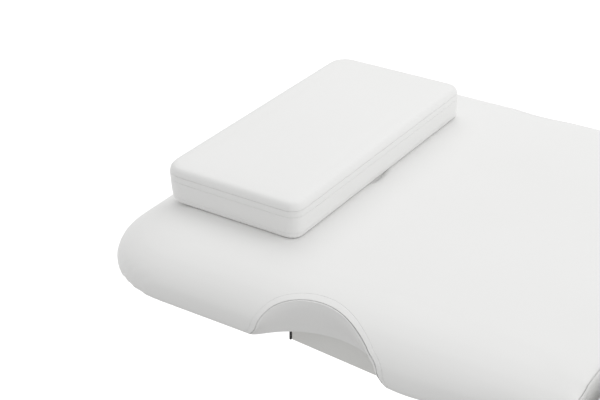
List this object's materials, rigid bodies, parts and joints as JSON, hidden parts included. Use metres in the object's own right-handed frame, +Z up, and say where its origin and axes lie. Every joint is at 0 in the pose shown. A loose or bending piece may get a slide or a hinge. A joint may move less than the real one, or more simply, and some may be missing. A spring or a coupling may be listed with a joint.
{
  "type": "electric beauty bed",
  "caption": "Electric beauty bed with padded back, seat and leg sections, side arm notches, a face hole, a loose pillow and a swinging-arm lift base with linear actuators.",
  "frame": {"origin": "on the floor, under the middle of the bed's length and width", "axes": "+X along the bed towards the foot end, -Y to the pictured side with the handset, +Z up; the bed lies flat at its lowest height"},
  "size_m": [1.86, 0.8048, 0.677],
  "materials": {
    "upholstery": "smooth polyurethane-coated fabric over foam, satin",
    "frame_paint": "white powder coat, satin",
    "bright_steel": "bright zinc plated",
    "plywood": "raw birch plywood",
    "black_plastic": "matte black",
    "grey_plastic": "matte grey",
    "actuator_housing": "die-cast, bead blasted, satin",
    "rubber": "black rubber"
  },
  "bodies": {
    "base": {"base_rail_left": "frame_paint", "base_rail_right": "frame_paint", "base_cross_head": "frame_paint", "base_cross_foot": "frame_paint", "levelling_foot_head_left": "rubber", "levelling_foot_head_right": "rubber", "levelling_foot_foot_left": "rubber", "levelling_foot_foot_right": "rubber", "lower_shaft_front": "bright_steel", "lower_shaft_rear": "bright_steel", "control_box": "black_plastic", "mains_inlet": "grey_plastic"},
    "rear_arms": {"rear_arm_left": "frame_paint", "rear_arm_right": "frame_paint", "rear_arm_tie": "frame_paint"},
    "front_arms": {"front_arm_left": "frame_paint", "front_arm_right": "frame_paint", "front_arm_tie": "frame_paint"},
    "upper_frame": {"upper_rail_left": "frame_paint", "upper_rail_right": "frame_paint", "upper_cross_head": "frame_paint", "upper_cross_foot": "frame_paint", "actuator_beam": "frame_paint", "upper_shaft_front": "bright_steel", "upper_shaft_rear": "bright_steel", "side_plate_left": "frame_paint", "side_plate_right": "frame_paint", "back_hinge_pin_left": "bright_steel", "back_hinge_pin_right": "bright_steel", "leg_hinge_pin_left": "bright_steel", "leg_hinge_pin_right": "bright_steel", "seat_board": "plywood", "seat_cushion": "upholstery", "handset_clip": "black_plastic"},
    "back": {"back_arm_left": "frame_paint", "back_arm_right": "frame_paint", "back_arm_cap_left": "black_plastic", "back_arm_cap_right": "black_plastic", "back_cross": "frame_paint", "back_board": "plywood", "back_cushion": "upholstery"},
    "leg": {"leg_arm_left": "frame_paint", "leg_arm_right": "frame_paint", "leg_cross": "frame_paint", "leg_board": "plywood", "leg_cushion": "upholstery"},
    "pillow": {"pillow": "upholstery"},
    "lift_drive": {"lift_actuator_drive": "actuator_housing"},
    "lift_rod": {"lift_actuator_rod": "bright_steel"},
    "back_drive": {"back_actuator_drive": "actuator_housing"},
    "back_rod": {"back_actuator_rod": "bright_steel"},
    "leg_drive": {"leg_actuator_drive": "actuator_housing"},
    "leg_rod": {"leg_actuator_rod": "bright_steel"},
    "handset": {"handset": "grey_plastic"},
    "lift_up_button": {"lift_up_button": "black_plastic"},
    "lift_down_button": {"lift_down_button": "black_plastic"},
    "back_up_button": {"back_up_button": "black_plastic"},
    "back_down_button": {"back_down_button": "black_plastic"},
    "leg_up_button": {"leg_up_button": "black_plastic"},
    "leg_down_button": {"leg_down_button": "black_plastic"}
  },
  "joints": [
    {"name": "lift", "type": "hinge", "parent": "base", "child": "rear_arms", "pos_m": [0.71241, 0, 0.07], "axis": [0, 1, 0], "range_deg": [0, 32]},
    {"name": "front_arms_swing", "type": "hinge", "parent": "base", "child": "front_arms", "pos_m": [0.31241, 0, 0.07], "axis": [0, 1, 0], "range_deg": [-0.05, 32.05]},
    {"name": "upper_frame_level", "type": "hinge", "parent": "rear_arms", "child": "upper_frame", "pos_m": [0.1, 0, 0.4854], "axis": [0, 1, 0], "range_deg": [-32.05, 0.05]},
    {"name": "back", "type": "hinge", "parent": "upper_frame", "child": "back", "pos_m": [-0.1875, 0, 0.6], "axis": [0, 1, 0], "range_deg": [0, 70]},
    {"name": "leg", "type": "hinge", "parent": "upper_frame", "child": "leg", "pos_m": [0.3255, 0, 0.6], "axis": [0, -1, 0], "range_deg": [0, 35]},
    {"name": "pillow_lift", "type": "slide", "parent": "back", "child": "pillow", "axis": [0, 0, 1], "range_m": [0, 0.08]},
    {"name": "lift_actuator_tilt", "type": "hinge", "parent": "base", "child": "lift_drive", "pos_m": [-0.303, 0, 0.09], "axis": [0, 1, 0], "range_deg": [-5.53, 0.02]},
    {"name": "lift_actuator_stroke", "type": "slide", "parent": "lift_drive", "child": "lift_rod", "axis": [0.9416, 0, 0.3367], "range_m": [-0.0001, 0.14754]},
    {"name": "back_actuator_tilt", "type": "hinge", "parent": "upper_frame", "child": "back_drive", "pos_m": [0.075, 0.07, 0.4304], "axis": [0, 1, 0], "range_deg": [-0.02, 4.37]},
    {"name": "back_actuator_stroke", "type": "slide", "parent": "back_drive", "child": "back_rod", "axis": [-0.9756, 0, 0.2197], "range_m": [-0.0001, 0.13195]},
    {"name": "leg_actuator_tilt", "type": "hinge", "parent": "upper_frame", "child": "leg_drive", "pos_m": [0.05, -0.07, 0.4304], "axis": [0, 1, 0], "range_deg": [-0.02, 2.15]},
    {"name": "leg_actuator_stroke", "type": "slide", "parent": "leg_drive", "child": "leg_rod", "axis": [0.9761, 0, 0.2171], "range_m": [-0.0001, 0.07079]},
    {"name": "handset_pull", "type": "slide", "parent": "upper_frame", "child": "handset", "axis": [0, -1, 0], "range_m": [0, 0.04]},
    {"name": "lift_up_button_press", "type": "slide", "parent": "handset", "child": "lift_up_button", "axis": [0, 1, 0], "range_m": [0, 0.0015], "stiffness_N_per_m": 900, "springref_m": -0.0005},
    {"name": "lift_down_button_press", "type": "slide", "parent": "handset", "child": "lift_down_button", "axis": [0, 1, 0], "range_m": [0, 0.0015], "stiffness_N_per_m": 900, "springref_m": -0.0005},
    {"name": "back_up_button_press", "type": "slide", "parent": "handset", "child": "back_up_button", "axis": [0, 1, 0], "range_m": [0, 0.0015], "stiffness_N_per_m": 900, "springref_m": -0.0005},
    {"name": "back_down_button_press", "type": "slide", "parent": "handset", "child": "back_down_button", "axis": [0, 1, 0], "range_m": [0, 0.0015], "stiffness_N_per_m": 900, "springref_m": -0.0005},
    {"name": "leg_up_button_press", "type": "slide", "parent": "handset", "child": "leg_up_button", "axis": [0, 1, 0], "range_m": [0, 0.0015], "stiffness_N_per_m": 900, "springref_m": -0.0005},
    {"name": "leg_down_button_press", "type": "slide", "parent": "handset", "child": "leg_down_button", "axis": [0, 1, 0], "range_m": [0, 0.0015], "stiffness_N_per_m": 900, "springref_m": -0.0005}
  ],
  "couplings": [
    {"joint": "front_arms_swing", "follows": "lift", "ratio": 1},
    {"joint": "upper_frame_level", "follows": "lift", "ratio": -1},
    {"joint": "lift_actuator_tilt", "follows": "lift", "ratio": -0.17206},
    {"joint": "lift_actuator_stroke", "follows": "lift", "m_per_rad": 0.264},
    {"joint": "back_actuator_tilt", "follows": "back", "ratio": 0.062148},
    {"joint": "back_actuator_stroke", "follows": "back", "m_per_rad": 0.10792},
    {"joint": "leg_actuator_tilt", "follows": "leg", "ratio": 0.060952},
    {"joint": "leg_actuator_stroke", "follows": "leg", "m_per_rad": 0.11572}
  ]
}
